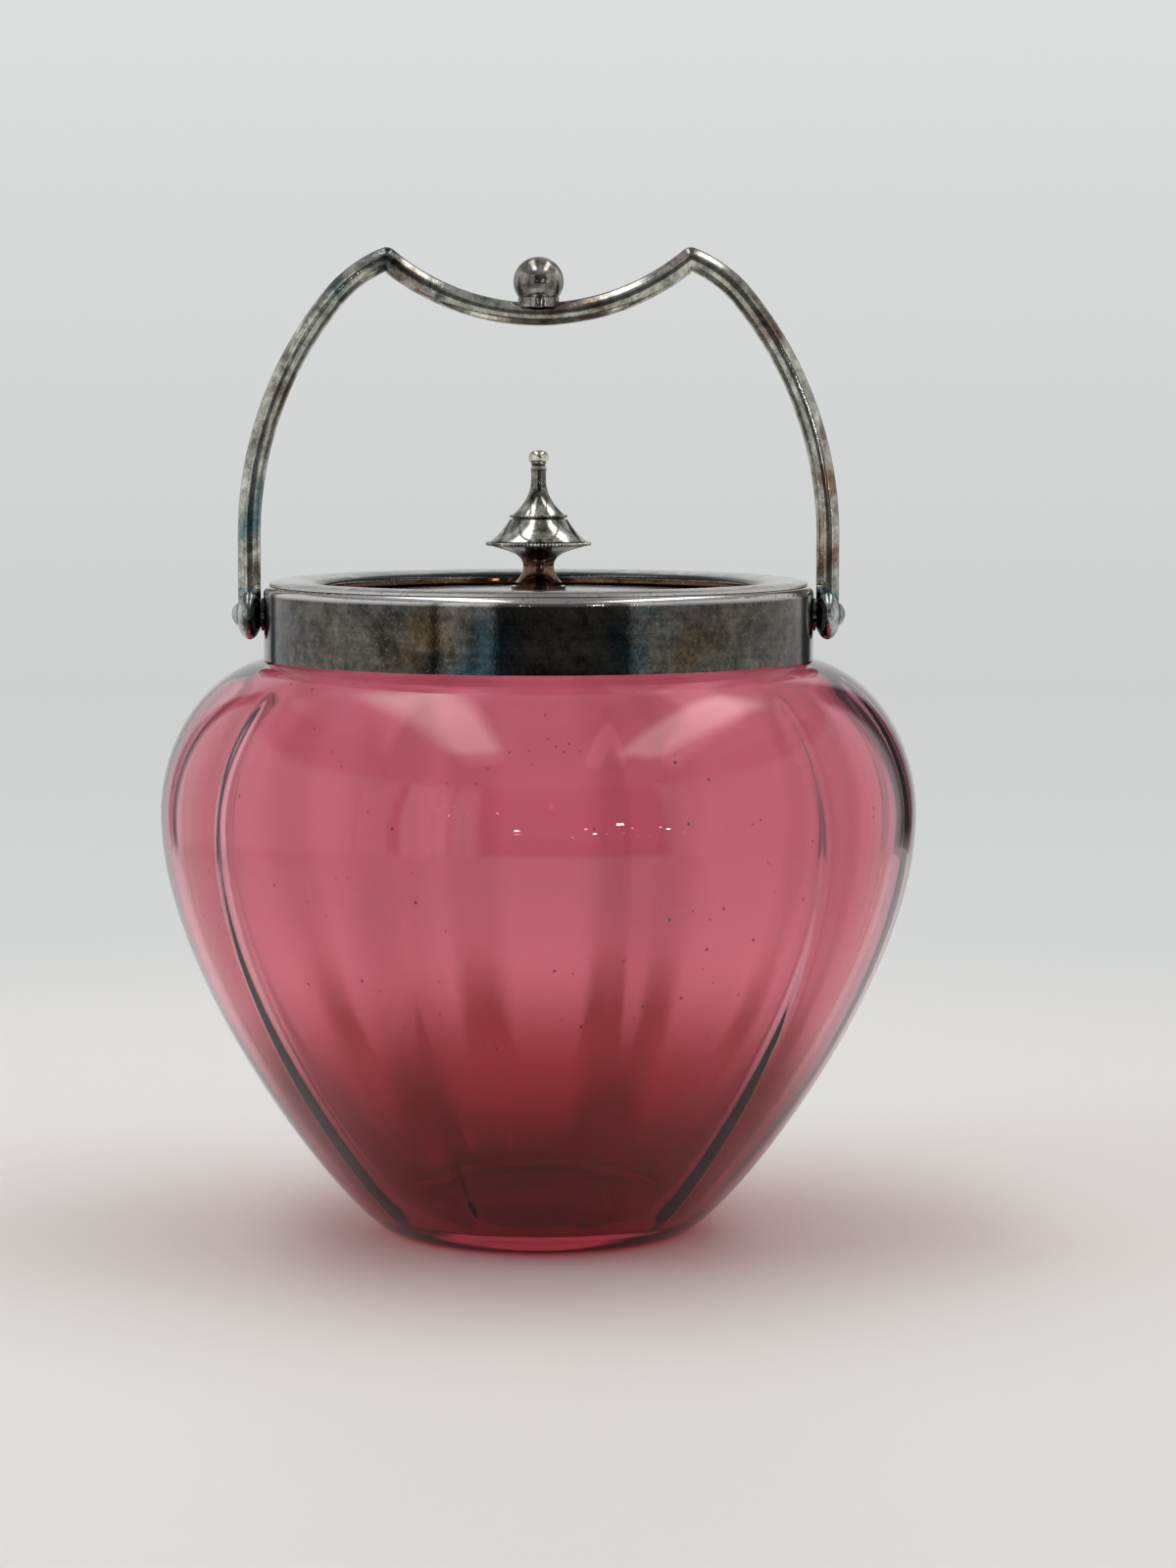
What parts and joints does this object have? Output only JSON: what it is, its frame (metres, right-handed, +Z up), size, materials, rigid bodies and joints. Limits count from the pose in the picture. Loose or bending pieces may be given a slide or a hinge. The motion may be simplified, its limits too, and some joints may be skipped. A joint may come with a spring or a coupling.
{
  "type": "biscuit barrel",
  "caption": "Bulbous cranberry glass biscuit barrel with a plated collar, lift-off lid with turned finial and a swinging bail handle.",
  "frame": {"origin": "centre of the circle that the glass foot stands on, at the bottom of the part", "axes": "+Z up along the jar's axis, X along the handle's pivots, -Y towards the front"},
  "size_m": [0.156, 0.156, 0.2021],
  "materials": {
    "cranberry_glass": "blown, fire polished",
    "plaster": "matt",
    "plated_collar": "silver plate, dark tarnish",
    "plated_lid": "silver plate, light tarnish",
    "plated_handle": "silver plate, mottled tarnish",
    "plated_finial": "silver plate, worn bright",
    "nickel_silver": "turned, unplated"
  },
  "bodies": {
    "jar": {"glass_jar": "cranberry_glass", "plaster_bed": "plaster", "collar_band": "plated_collar", "left_pivot_boss": "plated_collar", "right_pivot_boss": "plated_collar", "left_pivot_pin": "plated_handle", "right_pivot_pin": "plated_handle"},
    "handle": {"left_handle_knuckle": "plated_handle", "right_handle_knuckle": "plated_handle", "left_handle_arm": "plated_handle", "right_handle_arm": "plated_handle", "handle_centre_bar": "plated_handle", "handle_ball_cup": "plated_handle", "handle_ball": "plated_handle"},
    "lid": {"lid_rim": "plated_lid", "lid_pan": "plated_lid", "lid_flange": "plated_lid", "finial_spool": "plated_finial", "finial_bell": "plated_finial", "bell_beading": "plated_finial", "spire_beading": "plated_finial", "finial_spire": "plated_finial", "finial_stud": "nickel_silver", "finial_washer": "nickel_silver", "finial_nut": "nickel_silver"}
  },
  "joints": [
    {"name": "handle_swing", "type": "hinge", "parent": "jar", "child": "handle", "pos_m": [0, 0, 0.1272], "axis": [1, 0, 0], "range_deg": [-96, 96]},
    {"name": "lid_lift", "type": "slide", "parent": "jar", "child": "lid", "axis": [0, 0, 1], "range_m": [0, 0.012]}
  ]
}
